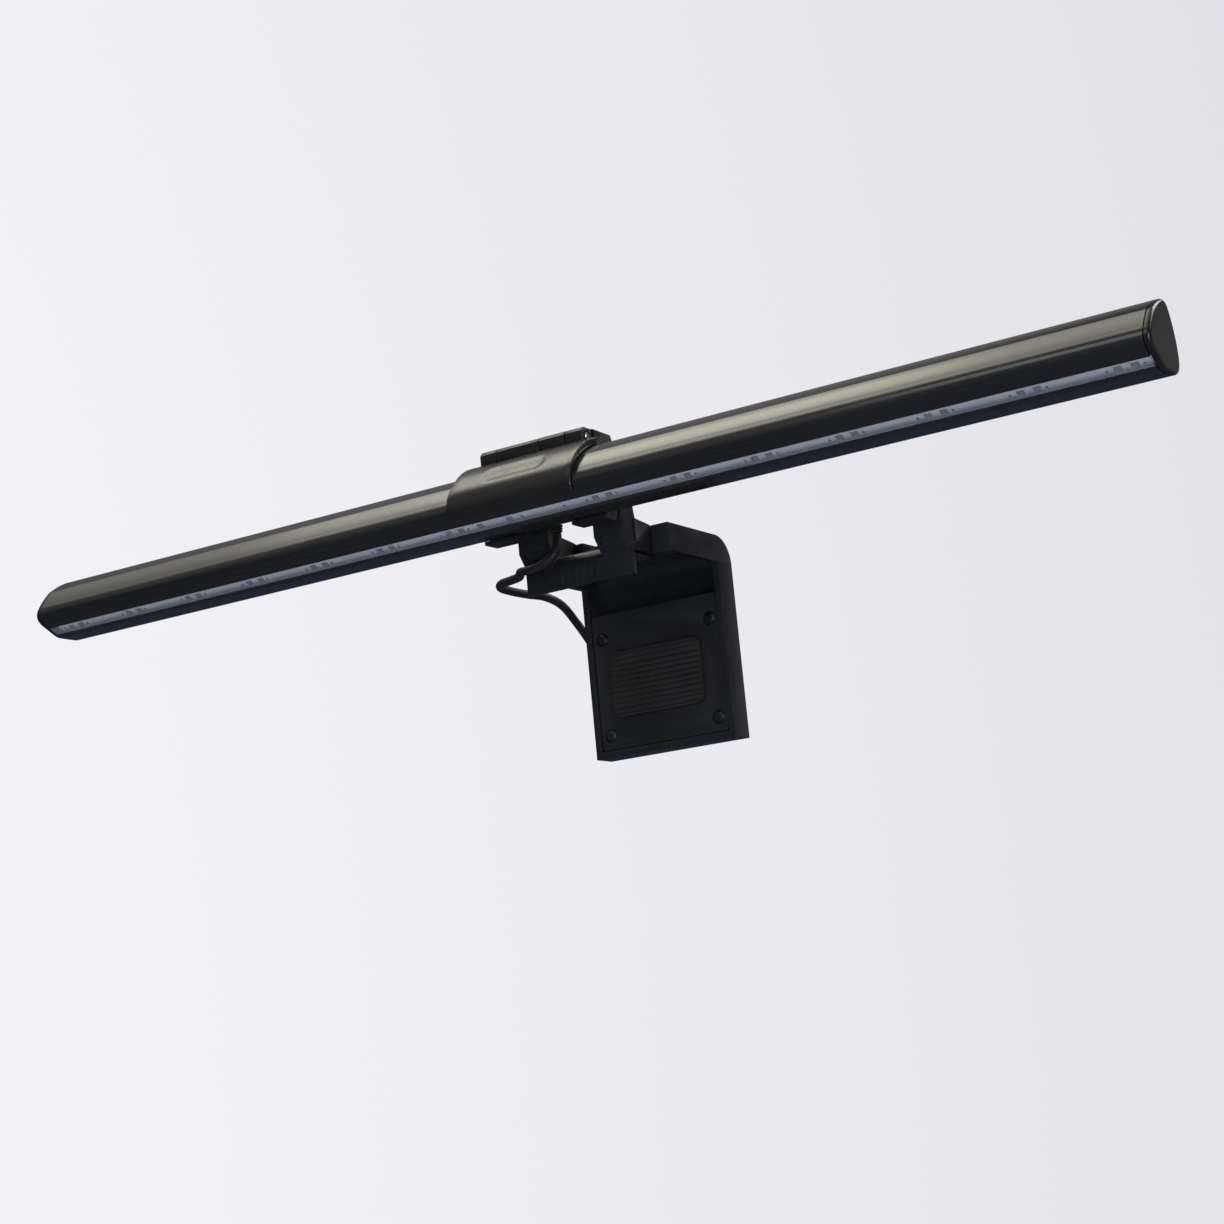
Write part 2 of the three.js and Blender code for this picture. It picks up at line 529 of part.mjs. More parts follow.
// Down from the strain relief, forward past the left arm, round the lip's end,
// back over the monitor's top, down behind it and up to the coil.
const LEAD_POINTS = [
  [...CORD_EXIT, CORD_EXIT_Z - 2 * FIT], [-6.5, -12, 9.2], [-6.6, -13.5, 6], [-8.4, -15.2, 2.8],
  [-12.4, -15.4, 1.2], [-17.2, -14.8, 0.8], [-22.1, -13.1, 1.2], [-25.4, -9.1, 1.6],
  [-28.6, -5, 1.7], [-34, -2.4, 1.8], [-39.6, -0.2, 1.9], [-44, 5, 1.9],
  [-45.6, 14, 1.9], [-45.4, 24, 1.9], [-44, 34, 1.8], [-42.6, 42.4, -0.6],
  [-41, 49.2, -7], [-37.6, 53, -15.4], [-33.4, 53.6, -23.4],
];
const TAIL_POINTS = [
  [14.2, 65.5, -32], [14.2, 66.2, -26], [12.6, 66.6, -19.2], [8.4, 66.9, -13.8],
  [2.6, 67.2, -11.2], [-3.2, 67.7, -12.8], [-7.1, 68.2, -17.4], [-8, 68.4, -22],
];

function cord(points) {
  const gap = (p, q) => Math.hypot(...p.map((value, k) => value - q[k]));
  const length = points.slice(1).reduce((sum, p, i) => sum + gap(p, points[i]), 0);
  return tubeAlong(points, CORD_R, CORD_SIDES, Math.round(length / CORD_STEP) + 4);
}

function coilSolid() {
  const half = COIL.wide / 2;
  const section = roundedRectangle(COIL.mid - half, 0, COIL.mid + half, COIL.deep, 3, 2);
  const lathe = new THREE.LatheGeometry([...section, section[0]].map(vec), 30);
  return toSolid(lathe).translate([COIL.x, COIL.front, COIL.z]);
}

function plugTie() {
  const z = COIL.z - COIL.mid;
  const half = COIL.wide / 2 + FIT;
  const [front, back] = [COIL.front - FIT, COIL.front + COIL.deep + FIT];
  const hole = roundedRectangle(front, z - half, back, z + half + 0.4, 2, 3);
  return cut(alongX(inset(hole, -1.1), COIL.x - 3, COIL.x + 3), alongX(hole, COIL.x - 4, COIL.x + 4));
}

function plugBody() {
  const body = alongZ(roundedRectangle(-15.8, 65.3, -0.2, 72.7, 2.4), -46, -27);
  return join(body, alongZ(circle([-8, 68.4], 2.6, 16), -27.1, -22.6));
}

piece('cord_lead', cord(LEAD_POINTS), 'cord');
piece('cord_coil', coilSolid(), 'cord');
piece('cord_tail', cord(TAIL_POINTS), 'cord');
piece('cord_tie', plugTie(), 'rubber');
piece('plug_body', plugBody(), 'rubber');
const sheet = alongZ(rectangle(-14, 66.75, -2, 71.25), -58.3, -46.3);
piece('plug_shell', cut(sheet, alongZ(rectangle(-13.6, 69, -2.4, 70.9), -59, -48)), 'steel');

export default group;
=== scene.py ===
"""The looks of the monitor light bar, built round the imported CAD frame.

Lengths below are in millimetres and are scaled to metres when a mesh is made.
The frame is the CAD's: +X along the bar, +Y back over the monitor, +Z up.
"""
import json
import math

import bmesh
import bpy
from mathutils import Matrix, Vector


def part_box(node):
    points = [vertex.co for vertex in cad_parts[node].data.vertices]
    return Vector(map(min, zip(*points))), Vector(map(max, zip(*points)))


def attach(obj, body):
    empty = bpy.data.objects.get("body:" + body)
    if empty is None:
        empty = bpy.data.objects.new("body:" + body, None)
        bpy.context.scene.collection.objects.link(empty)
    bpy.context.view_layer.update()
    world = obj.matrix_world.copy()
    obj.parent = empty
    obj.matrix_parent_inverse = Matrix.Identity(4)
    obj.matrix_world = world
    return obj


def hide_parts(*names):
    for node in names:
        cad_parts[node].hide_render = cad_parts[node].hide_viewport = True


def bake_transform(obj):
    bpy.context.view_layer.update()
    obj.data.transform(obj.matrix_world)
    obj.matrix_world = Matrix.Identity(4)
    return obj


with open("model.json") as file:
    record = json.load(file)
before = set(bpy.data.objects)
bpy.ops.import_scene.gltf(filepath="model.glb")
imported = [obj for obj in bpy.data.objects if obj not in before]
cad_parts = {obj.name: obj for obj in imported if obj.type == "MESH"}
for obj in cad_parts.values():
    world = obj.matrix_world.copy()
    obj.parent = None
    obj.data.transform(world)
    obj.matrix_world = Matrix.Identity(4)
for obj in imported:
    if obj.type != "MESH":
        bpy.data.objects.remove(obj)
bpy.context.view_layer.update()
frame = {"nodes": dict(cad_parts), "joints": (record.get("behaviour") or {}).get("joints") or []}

MM = 0.001
NODES = frame["nodes"]


def box_mm(node):
    """The lowest and highest corner of a CAD node, in millimetres."""
    low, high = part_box(node)
    return low / MM, high / MM


# ---------- driving sizes, as in the CAD ----------
WALL = 1.6
FACET_TOP = (-45.8, 13.97)
FACET_LOW = (-40.4, 11.2)
WINDOW_START = 1.2
BAR_HALF = box_mm("end_cap_right")[1].x
TUBE_HALF = box_mm("tube_housing")[1].x
BOARD_HALF = box_mm("led_board")[1].x
LENS_HALF = box_mm("lens_strip")[1].x
CAP_INNER = box_mm("end_cap_right")[0].x
CAP_FLANGE = 2.0
CAP_EDGE = 1.2
BOARD_DEPTH = 2.9
BOARD_WIDTH = 9.2
BOARD_MIDDLE = 0.8
LED_ROW = 2.6
LED_PITCH = 30.5
LED_OFFSET = 2.65
TILT_AXIS = [frame["joints"][0]["pos_m"][i] / MM for i in (1, 2)]
COVER_AXIS = [frame["joints"][1]["pos_m"][i] / MM for i in (1, 2)]
LEG_AXIS = [frame["joints"][2]["pos_m"][i] / MM for i in (1, 2)]
CORD_RADIUS = 1.6


# ---------- camera, lights and stage ----------
def add_camera():
    data = bpy.data.cameras.new("camera")
    data.lens = 67.65
    data.sensor_width = 36
    data.clip_start = 0.01
    camera = bpy.data.objects.new("camera", data)
    forward = Vector((-0.5182, 0.8343, 0.1885)).normalized()
    up = Vector((0.1793, -0.1095, 0.9777))
    right = forward.cross(up).normalized()
    up = right.cross(forward)
    turn = Matrix((right, up, -forward)).transposed().to_4x4()
    camera.matrix_world = Matrix.Translation((0.4224, -0.6709, -0.1684)) @ turn
    bpy.context.scene.collection.objects.link(camera)
    bpy.context.scene.camera = camera


def area_light(name, place, target, size, power, colour, mirrored=True):
    data = bpy.data.lights.new(name, "AREA")
    data.shape = "RECTANGLE"
    data.size, data.size_y = size
    data.energy = power
    data.color = colour
    light = bpy.data.objects.new(name, data)
    light.location = place
    light.rotation_euler = (Vector(target) - Vector(place)).to_track_quat("-Z", "Y").to_euler()
    light.visible_camera = False
    light.visible_glossy = mirrored
    bpy.context.scene.collection.objects.link(light)


def add_lights():
    """A warm softbox with a hot middle, high above the bar's left half, a cool strip in front
    of it, a narrow one at the right, and fill lights that never show as reflections."""
    warm, cool, white = (1, 0.97, 0.8), (0.93, 0.96, 1), (1, 1, 1)
    middle = (0, -0.04, 0.03)
    for x, height, size, power in ((-0.58, 1.5, (2.35, 1.0), 4.6), (-0.7, 1.49, (1.2, 0.72), 3.8),
                                   (-0.73, 1.48, (0.62, 0.5), 2.2)):
        area_light("softbox", (x, 0.12, height), (x, 0.12, 0), size, power, warm)
    area_light("strip_front", (-0.02, -0.8, 1.01), (-0.02, -0.04, 0.03), (0.75, 0.42), 1.6, cool)
    area_light("strip_side", (1.25, -0.8, 0.33), middle, (0.25, 1.0), 8, white)
    area_light("softbox_back", (1.0, 1.3, 1.5), middle, (1.0, 1.0), 14, white)
    area_light("fill_low", (0.3, -1.0, -0.45), middle, (1.0, 0.8), 5.6, cool, mirrored=False)
    area_light("overhead", (0, 0, 2.5), (0, 0, 0), (3, 3), 55, white, mirrored=False)


def add_world():
    """A room that is dim to the left and below, with a pale backdrop where the camera looks at it. The backdrop's
    colour is painted shading, paler to the left and darker towards the right; it lights nothing.
    """
    world = bpy.data.worlds.new("studio")
    bpy.context.scene.world = world
    world.use_nodes = True
    nodes, links = world.node_tree.nodes, world.node_tree.links
    nodes.clear()
    coords = nodes.new("ShaderNodeTexCoord")
    split = nodes.new("ShaderNodeSeparateXYZ")
    links.new(coords.outputs["Generated"], split.inputs[0])
    # Painted shading of the backdrop: paler on the left, darker towards the right.
    pale = nodes.new("ShaderNodeValToRGB")
    pale.color_ramp.elements[0].position = 0.15
    pale.color_ramp.elements[0].color = (0.9, 0.9, 0.935, 1)
    pale.color_ramp.elements[1].position = 0.85
    pale.color_ramp.elements[1].color = (0.71, 0.7, 0.74, 1)
    shift = nodes.new("ShaderNodeMath")
    shift.operation = "MULTIPLY_ADD"
    shift.inputs[1].default_value = 1.0
    shift.inputs[2].default_value = 0.9
    links.new(split.outputs["X"], shift.inputs[0])
    links.new(shift.outputs[0], pale.inputs[0])
    room = nodes.new("ShaderNodeValToRGB")
    room.color_ramp.elements[0].position = 0.36
    room.color_ramp.elements[0].color = (0.035, 0.045, 0.07, 1)
    room.color_ramp.elements[1].position = 0.62
    room.color_ramp.elements[1].color = (0.24, 0.235, 0.235, 1)
    for position, colour in ((0.7, (0.24, 0.235, 0.235, 1)), (0.78, (0.03, 0.03, 0.035, 1))):
        room.color_ramp.elements.new(position).color = colour
    across = nodes.new("ShaderNodeMath")
    across.operation = "MULTIPLY_ADD"
    across.inputs[1].default_value = 0.35
    across.inputs[2].default_value = 0.5
    links.new(split.outputs["X"], across.inputs[0])
    height = nodes.new("ShaderNodeMath")
    height.operation = "MULTIPLY_ADD"
    height.inputs[1].default_value = 0.5
    links.new(split.outputs["Z"], height.inputs[0])
    links.new(across.outputs[0], height.inputs[2])
    links.new(height.outputs[0], room.inputs[0])
    path = nodes.new("ShaderNodeLightPath")
    seen = nodes.new("ShaderNodeBackground")
    unseen = nodes.new("ShaderNodeBackground")
    links.new(pale.outputs[0], seen.inputs[0])
    links.new(room.outputs[0], unseen.inputs[0])
    mix = nodes.new("ShaderNodeMixShader")
    links.new(path.outputs["Is Camera Ray"], mix.inputs[0])
    links.new(unseen.outputs[0], mix.inputs[1])
    links.new(seen.outputs[0], mix.inputs[2])
    out = nodes.new("ShaderNodeOutputWorld")
    links.new(mix.outputs[0], out.inputs[0])


# ---------- materials ----------
class Paint:
    """A small helper round one node material with a Principled shader."""

    def __init__(self, name, colour, roughness, metallic=0.0, **sockets):
        self.material = bpy.data.materials.new(name)
        self.material.use_nodes = True
        self.nodes = self.material.node_tree.nodes
        self.links = self.material.node_tree.links
        self.shader = self.nodes["Principled BSDF"]
        self.shader.inputs["Base Color"].default_value = (*colour, 1)
        self.shader.inputs["Roughness"].default_value = roughness
        self.shader.inputs["Metallic"].default_value = metallic
        for socket, value in sockets.items():
            self.shader.inputs[socket.replace("_", " ")].default_value = value

    def noise(self, scale, stretch=(1, 1, 1), detail=3.0, texture="ShaderNodeTexNoise"):
        coords = self.nodes.new("ShaderNodeTexCoord")
        mapping = self.nodes.new("ShaderNodeMapping")
        mapping.inputs["Scale"].default_value = stretch
        self.links.new(coords.outputs["Object"], mapping.inputs["Vector"])
        noise = self.nodes.new(texture)
        noise.inputs["Scale"].default_value = scale
        if "Detail" in noise.inputs:
            noise.inputs["Detail"].default_value = detail
        self.links.new(mapping.outputs[0], noise.inputs["Vector"])
        return noise.outputs[0]

    def spread(self, source, low, high, start=0.3, end=0.7):
        """Maps a 0 to 1 pattern to a range of values."""
        node = self.nodes.new("ShaderNodeMapRange")
        node.inputs["From Min"].default_value = start
        node.inputs["From Max"].default_value = end
        node.inputs["To Min"].default_value = low
        node.inputs["To Max"].default_value = high
        self.links.new(source, node.inputs["Value"])
        return node.outputs[0]

    def tint(self, source, low, high, start=0.3, end=0.7):
        ramp = self.nodes.new("ShaderNodeValToRGB")
        ramp.color_ramp.elements[0].position = start
        ramp.color_ramp.elements[0].color = (*low, 1)
        ramp.color_ramp.elements[1].position = end
        ramp.color_ramp.elements[1].color = (*high, 1)
        self.links.new(source, ramp.inputs[0])
        self.links.new(ramp.outputs[0], self.shader.inputs["Base Color"])

    def rough(self, source, low, high):
        self.links.new(self.spread(source, low, high), self.shader.inputs["Roughness"])

    def bump(self, *layers):
        """Each layer is a pattern and its height in millimetres."""
        normal = None
        for source, height in layers:
            node = self.nodes.new("ShaderNodeBump")
            node.inputs["Strength"].default_value = 1.0
            node.inputs["Distance"].default_value = height * MM
            self.links.new(source, node.inputs["Height"])
            if normal is not None:
                self.links.new(normal, node.inputs["Normal"])
            normal = node.outputs[0]
        self.links.new(normal, self.shader.inputs["Normal"])


def shade(colour, factor):
    return tuple(c * factor for c in colour)


def moulded(name, colour, roughness, grain=0.002, grain_scale=2600, wear=0.06, **sockets):
    """Moulded plastic: a fine spark-eroded grain, faint flow clouds and light handling marks."""
    paint = Paint(name, colour, roughness, **sockets)
    clouds = paint.noise(60, detail=5)
    paint.tint(clouds, shade(colour, 0.86), shade(colour, 1.16))
    smudges = paint.noise(180, stretch=(1, 0.6, 1.4), detail=6)
    paint.rough(smudges, roughness - wear, roughness + wear)
    paint.bump((paint.noise(grain_scale, detail=2), grain), (paint.noise(240), grain * 0.3))
    return paint.material


def anodised(name):
    """Black anodised extrusion: drawn lines along X and a satin oxide layer."""
    colour = (0.0125, 0.0128, 0.0138)
    paint = Paint(name, colour, 0.2, IOR=1.62)
    lines = paint.noise(900, stretch=(0.012, 1, 1), detail=4)
    paint.tint(lines, shade(colour, 0.75), shade(colour, 1.3))
    paint.rough(paint.noise(140, stretch=(0.15, 1, 1), detail=6), 0.16, 0.22)
    paint.bump((lines, 0.0006), (paint.noise(4200, detail=1), 0.0006))
    return paint.material


def metal(name, colour, roughness, stretch=(1, 1, 1), scale=1800):
    paint = Paint(name, colour, roughness, metallic=1.0)
    lines = paint.noise(scale, stretch=stretch, detail=4)
    paint.tint(lines, shade(colour, 0.82), shade(colour, 1.12))
    paint.rough(paint.noise(300, detail=5), roughness - 0.07, roughness + 0.12)
    paint.bump((lines, 0.004))
    return paint.material


def rubber(name, colour, roughness=0.72):
    paint = Paint(name, colour, roughness)
    paint.tint(paint.noise(90, detail=6), shade(colour, 0.8), shade(colour, 1.35))
    paint.rough(paint.noise(400, detail=4), roughness - 0.08, roughness + 0.1)
    paint.bump((paint.noise(3200, detail=3), 0.012))
    return paint.material


def diffusing_lens(name):
    """A lightly frosted clear plastic, shown as a thin milky layer over the LED board."""
    colour = (0.42, 0.48, 0.58)
    paint = Paint(name, colour, 0.2, IOR=1.49)
    haze = paint.noise(350, stretch=(0.1, 1, 1), detail=4)
    paint.tint(haze, shade(colour, 0.97), shade(colour, 1.03))
    paint.links.new(paint.spread(haze, 0.17, 0.2), paint.shader.inputs["Alpha"])
    paint.bump((paint.noise(1500, stretch=(0.05, 1, 1)), 0.001))
    return paint.material


def circuit_board(name, colour, trace):
    """Solder resist over copper: straight traces show as slightly raised, lighter lines."""
    paint = Paint(name, colour, 0.42)
    traces = paint.noise(420, stretch=(0.12, 1, 1), texture="ShaderNodeTexVoronoi")
    paint.tint(traces, trace, colour, 0.12, 0.2)
    paint.rough(paint.noise(500), 0.36, 0.5)
    paint.bump((traces, 0.006))
    return paint.material


def led_package(name):
    paint = Paint(name, (0.06, 0.055, 0.045), 0.4)
    paint.tint(paint.noise(700), (0.015, 0.014, 0.013), (0.05, 0.045, 0.035))
    paint.bump((paint.noise(2400), 0.01))
    return paint.material


def make_materials():
    return {
        "tube": anodised("anodised_tube"),
        "cap": moulded("cap_plastic", (0.0095, 0.0097, 0.0105), 0.24, wear=0.04),
        "cradle": moulded("cradle_plastic", (0.0105, 0.0108, 0.012), 0.4),
        "hook": moulded("hook_plastic", (0.0115, 0.0125, 0.0155), 0.3),
        "cover": moulded("cover_plastic", (0.0125, 0.0123, 0.0118), 0.27, grain=0.0008, wear=0.03),
        "plate": moulded("plate_plastic", (0.012, 0.0125, 0.0135), 0.5, grain=0.006),
        "lens": diffusing_lens("lens_plastic"),
        "board": circuit_board("white_board", (0.56, 0.6, 0.66), (0.54, 0.58, 0.64)),
        "driver": circuit_board("green_board", (0.02, 0.1, 0.05), (0.04, 0.18, 0.09)),
        "led": led_package("led_body"),
        "chip": moulded("chip_plastic", (0.02, 0.02, 0.021), 0.5),
        "carrier": metal("mill_aluminium", (0.72, 0.73, 0.74), 0.38, stretch=(0.03, 1, 1)),
        "steel": metal("turned_steel", (0.58, 0.59, 0.6), 0.26, stretch=(1, 0.1, 0.1)),
        "dark_steel": metal("blackened_steel", (0.16, 0.165, 0.175), 0.36),
        "shell": metal("plated_shell", (0.62, 0.62, 0.63), 0.22, stretch=(1, 1, 0.08)),
        "gold": metal("gold_contact", (0.8, 0.56, 0.22), 0.25),
        "rubber": rubber("black_rubber", (0.014, 0.014, 0.015)),
        "cord": rubber("cord_sheath", (0.013, 0.0133, 0.0145), 0.46),
        "tie": rubber("tie_strap", (0.02, 0.02, 0.021), 0.85),
    }


# ---------- outlines ----------
def bezier(p0, p1, p2, p3, steps):
    """Points of a cubic curve, without its last one."""
    points = []
    for i in range(steps):
        t = i / steps
        weights = ((1 - t) ** 3, 3 * t * (1 - t) ** 2, 3 * t * t * (1 - t), t ** 3)
        points.append(tuple(sum(w * p[k] for w, p in zip(weights, (p0, p1, p2, p3))) for k in (0, 1)))
    return points


def quadratic(p0, p1, p2, steps):
    a = tuple(p0[k] + (p1[k] - p0[k]) * 2 / 3 for k in (0, 1))
    b = tuple(p2[k] + (p1[k] - p2[k]) * 2 / 3 for k in (0, 1))
    return bezier(p0, a, b, p2, steps)


def arc(centre, radius, start, end, steps):
    """Points of an arc, angles in degrees, both ends included."""
    points = []
    for i in range(steps + 1):
        angle = math.radians(start + (end - start) * i / steps)
        points.append((centre[0] + radius * math.cos(angle), centre[1] + radius * math.sin(angle)))
    return points


def rounded_rectangle(a0, b0, a1, b1, radius, steps=6):
    corners = [(a1 - radius, b0 + radius, -90), (a1 - radius, b1 - radius, 0),
               (a0 + radius, b1 - radius, 90), (a0 + radius, b0 + radius, 180)]
    return [p for a, b, start in corners for p in arc((a, b), radius, start, start + 90, steps)]


def inset(outline, distance):
    """Moves a counter-clockwise outline inwards, or outwards if distance is negative."""
    count = len(outline)
    moved = []
    for i, (a, b) in enumerate(outline):
        before, after = Vector(outline[i - 1]), Vector(outline[(i + 1) % count])
        here = Vector((a, b))
        first = (here - before).normalized()
        second = (after - here).normalized()
        n1, n2 = Vector((-first.y, first.x)), Vector((-second.y, second.x))
        middle = (n1 + n2).normalized()
        moved.append(tuple(here + middle * (distance / max(middle.dot(n1), 0.4))))
    return moved


def tube_outline(steps=18):
    """The tube's outer section in Y and Z, counter-clockwise from the flat's upper end."""
    crease = (-42.5, 28.2)
    nose = (-47.7, 22.1)
    points = [FACET_TOP]
    points += quadratic(FACET_LOW, (-39.1, 10.5), (-37.2, 10.5), 8)
    points += [(-37.2, 10.5)]
    points += bezier((-30.5, 10.5), (-26.6, 10.5), (-25.2, 12.6), (-24.7, 15.4), steps)
    points += bezier((-24.7, 15.4), (-24.2, 19.6), (-25.4, 26), (-28.6, 31.2), steps)
    points += bezier((-28.6, 31.2), (-29.6, 32.9), (-31.4, 33.6), (-33.6, 33.1), steps)
    points += quadratic((-33.6, 33.1), (-38, 31.4), crease, steps)
    points += bezier(crease, (-45.2, 25.6), (-46.6, 23.8), nose, steps)
    points += bezier(nose, (-50.4, 18.6), (-49.8, 15.9), FACET_TOP, steps)
    return points


OUTLINE = tube_outline()
FACET = (Vector(FACET_LOW) - Vector(FACET_TOP)).normalized()
INWARDS = Vector((-FACET.y, FACET.x))
WINDOW_WIDE = (Vector(FACET_LOW) - Vector(FACET_TOP)).length - WINDOW_START
WINDOW_MIDDLE = Vector(FACET_LOW) - FACET * (WINDOW_WIDE / 2)


def on_facet(along, depth):
    """A point of the section, measured along the flat from the window's middle and in from it."""
    return tuple(WINDOW_MIDDLE + FACET * along + INWARDS * depth)


# ---------- mesh building ----------
def new_object(name, vertices, faces):
    mesh = bpy.data.meshes.new(name)
    mesh.from_pydata([tuple(c * MM for c in v) for v in vertices], [], faces)
    obj = bpy.data.objects.new(name, mesh)
    bpy.context.scene.collection.objects.link(obj)
    face_outwards(obj)
    return obj


def face_outwards(obj):
    work = bmesh.new()
    work.from_mesh(obj.data)
    bmesh.ops.remove_doubles(work, verts=work.verts, dist=1e-7)
    bmesh.ops.recalc_face_normals(work, faces=work.faces)
    work.to_mesh(obj.data)
    work.free()


def bake_modifiers(obj):
    view = bpy.context.evaluated_depsgraph_get()
    mesh = bpy.data.meshes.new_from_object(obj.evaluated_get(view))
    obj.modifiers.clear()
    obj.data = mesh
    mesh.name = obj.name


def loft(name, rings, closed_tube=False):
    """Joins rings of points with quads, and closes both ends unless the rings meet."""
    count = len(rings[0])
    vertices = [p for ring in rings for p in ring]
    faces = []
    pairs = len(rings) if closed_tube else len(rings) - 1
    for i in range(pairs):
        j = (i + 1) % len(rings)
        for k in range(count):
            m = (k + 1) % count
            faces.append((i * count + k, i * count + m, j * count + m, j * count + k))
    if not closed_tube:
        faces.append(tuple(range(count)))
        faces.append(tuple(range((len(rings) - 1) * count, len(rings) * count)))
    return new_object(name, vertices, faces)


def along_x(name, outline, x0, x1):
    return loft(name, [[(x, y, z) for y, z in outline] for x in (x0, x1)])


def along_y(name, outline, y0, y1):
    return loft(name, [[(x, y, z) for x, z in outline] for y in (y0, y1)])


def along_z(name, outline, z0, z1):
    return loft(name, [[(x, y, z) for x, y in outline] for z in (z0, z1)])


def turned(name, profile, centre, axis, steps=48):
    """A turned solid: profile is (radius, place along the axis), starting and ending near the axis."""
    rings = []
    for radius, place in profile:
        ring = []
        for i in range(steps):
            angle = 2 * math.pi * i / steps
            a, b = radius * math.cos(angle), radius * math.sin(angle)
            local = {"x": (place, a, b), "y": (b, place, a), "z": (a, b, place)}[axis]
            ring.append(tuple(c + d for c, d in zip(centre, local)))
        rings.append(ring)
    return loft(name, rings)


def boolean(obj, cutter, operation="DIFFERENCE"):
    modifier = obj.modifiers.new("cut", "BOOLEAN")
    modifier.operation = operation
    modifier.solver = "EXACT"
    modifier.object = cutter
    bake_modifiers(obj)
    bpy.data.objects.remove(cutter)


def bevel(obj, width, segments=3, angle=30):
    modifier = obj.modifiers.new("edges", "BEVEL")
    modifier.width = width * MM
    modifier.segments = segments
    modifier.limit_method = "ANGLE"
    modifier.angle_limit = math.radians(angle)
    modifier.use_clamp_overlap = True
    bake_modifiers(obj)


def smooth(obj, angle=35):
    obj.data.polygons.foreach_set("use_smooth", [True] * len(obj.data.polygons))
    obj.data.set_sharp_from_angle(angle=math.radians(angle))


def dress(obj, material, body, replaced=()):
    obj.data.materials.clear()
    obj.data.materials.append(material)
    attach(obj, body)
    if replaced:
        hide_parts(*replaced)
    return obj


def softened(node, width, segments=3, angle=28):
    """A copy of a CAD node with its flat facets joined and its edges rounded."""
    mesh = NODES[node].data.copy()
    obj = bpy.data.objects.new(node + "_rounded", mesh)
    bpy.context.scene.collection.objects.link(obj)
    work = bmesh.new()
    work.from_mesh(mesh)
    bmesh.ops.remove_doubles(work, verts=work.verts, dist=2e-6)
    bmesh.ops.dissolve_limit(work, angle_limit=math.radians(0.8), verts=work.verts, edges=work.edges)
    bmesh.ops.recalc_face_normals(work, faces=work.faces)
    work.to_mesh(mesh)
    work.free()
    bevel(obj, width, segments, angle)
    smooth(obj, angle)
    return obj


# ---------- cord ----------
COIL_CENTRE = (-8, -32)
COIL_LAYERS = [52.25, 55.5, 58.75, 62.0]
COIL_RADII = [22.3, 19.0, 15.7]
CORD_START = (-6.7, -11.5, 12.0)
LEAD = [
    CORD_START, (-6.5, -12, 9.2), (-6.6, -13.5, 6), (-8.4, -15.2, 2.8),
    (-12.4, -15.4, 1.2), (-17.2, -14.8, 0.8), (-22.1, -13.1, 1.2), (-25.4, -9.1, 1.6),
    (-28.6, -5, 1.7), (-34, -2.4, 1.8), (-39.6, -0.2, 1.9), (-44, 5, 1.9),
    (-45.6, 14, 1.9), (-45.4, 24, 1.9), (-44, 34, 1.8), (-42.6, 42.4, -0.6),
    (-41, 49.2, -7), (-37.6, 53, -15.4), (-33.4, 53.6, -23.4),
]
TAIL = [
    (14.2, 65.5, -32), (14.2, 66.2, -26), (12.6, 66.6, -19.2), (8.4, 66.9, -13.8),
    (2.6, 67.2, -11.2), (-3.2, 67.7, -12.8), (-7.1, 68.2, -17.4), (-8, 68.4, -22),
]


def coil_points():
    """Turns wound side by side, layer on layer. Each turn shifts to the next place over a
    sixth of a circle, and a shift between layers comes a sixth earlier than its neighbours."""
    slots = []
    for i, y in enumerate(COIL_LAYERS):
        radii = COIL_RADII if i % 2 == 0 else COIL_RADII[::-1]
        slots += [(radius, y) for radius in radii]
    lag = 0
    places = []
    angle = 180.0
    for i, (slot, following) in enumerate(zip(slots, slots[1:])):
        if slot[1] != following[1] or (i and slots[i - 1][1] != slot[1]):
            lag += 60
        end = 180 + 360 * (i + 1) - lag - 60
        while angle < end:
            places.append((angle, *slot))
            angle += 10
        for step in range(6):
            blend = (1 - math.cos(math.pi * step / 6)) / 2
            places.append((end + 10 * step, *[a + (b - a) * blend for a, b in zip(slot, following)]))
        angle = end + 60
    last = 360 * math.ceil(angle / 360)
    while angle < last - 30:
        places.append((angle, *slots[-1]))
        angle += 10
    points = []
    for angle, radius, y in places:
        turn = math.radians(angle)
        x, z = COIL_CENTRE
        points.append((x + radius * math.cos(turn), y, z + radius * math.sin(turn)))
    return points


def smooth_path(points, step=1.2):
    """A centripetal Catmull-Rom curve through the points, cut into short even pieces."""
    points = [Vector(p) for p in points]
    ends = [points[0] * 2 - points[1]] + points + [points[-1] * 2 - points[-2]]
    path = []
    for p0, p1, p2, p3 in zip(ends, ends[1:], ends[2:], ends[3:]):
        t1 = (p1 - p0).length ** 0.5
        t2 = t1 + (p2 - p1).length ** 0.5
        t3 = t2 + (p3 - p2).length ** 0.5
        pieces = max(1, round((p2 - p1).length / step))
        for i in range(pieces):
            t = t1 + (t2 - t1) * i / pieces
            a1 = p0 * ((t1 - t) / t1) + p1 * (t / t1)
            a2 = p1 * ((t2 - t) / (t2 - t1)) + p2 * ((t - t1) / (t2 - t1))
            a3 = p2 * ((t3 - t) / (t3 - t2)) + p3 * ((t - t2) / (t3 - t2))
            b1 = a1 * ((t2 - t) / t2) + a2 * (t / t2)
            b2 = a2 * ((t3 - t) / (t3 - t1)) + a3 * ((t - t1) / (t3 - t1))
            path.append(b1 * ((t2 - t) / (t2 - t1)) + b2 * ((t - t1) / (t2 - t1)))
    return path + [points[-1]]


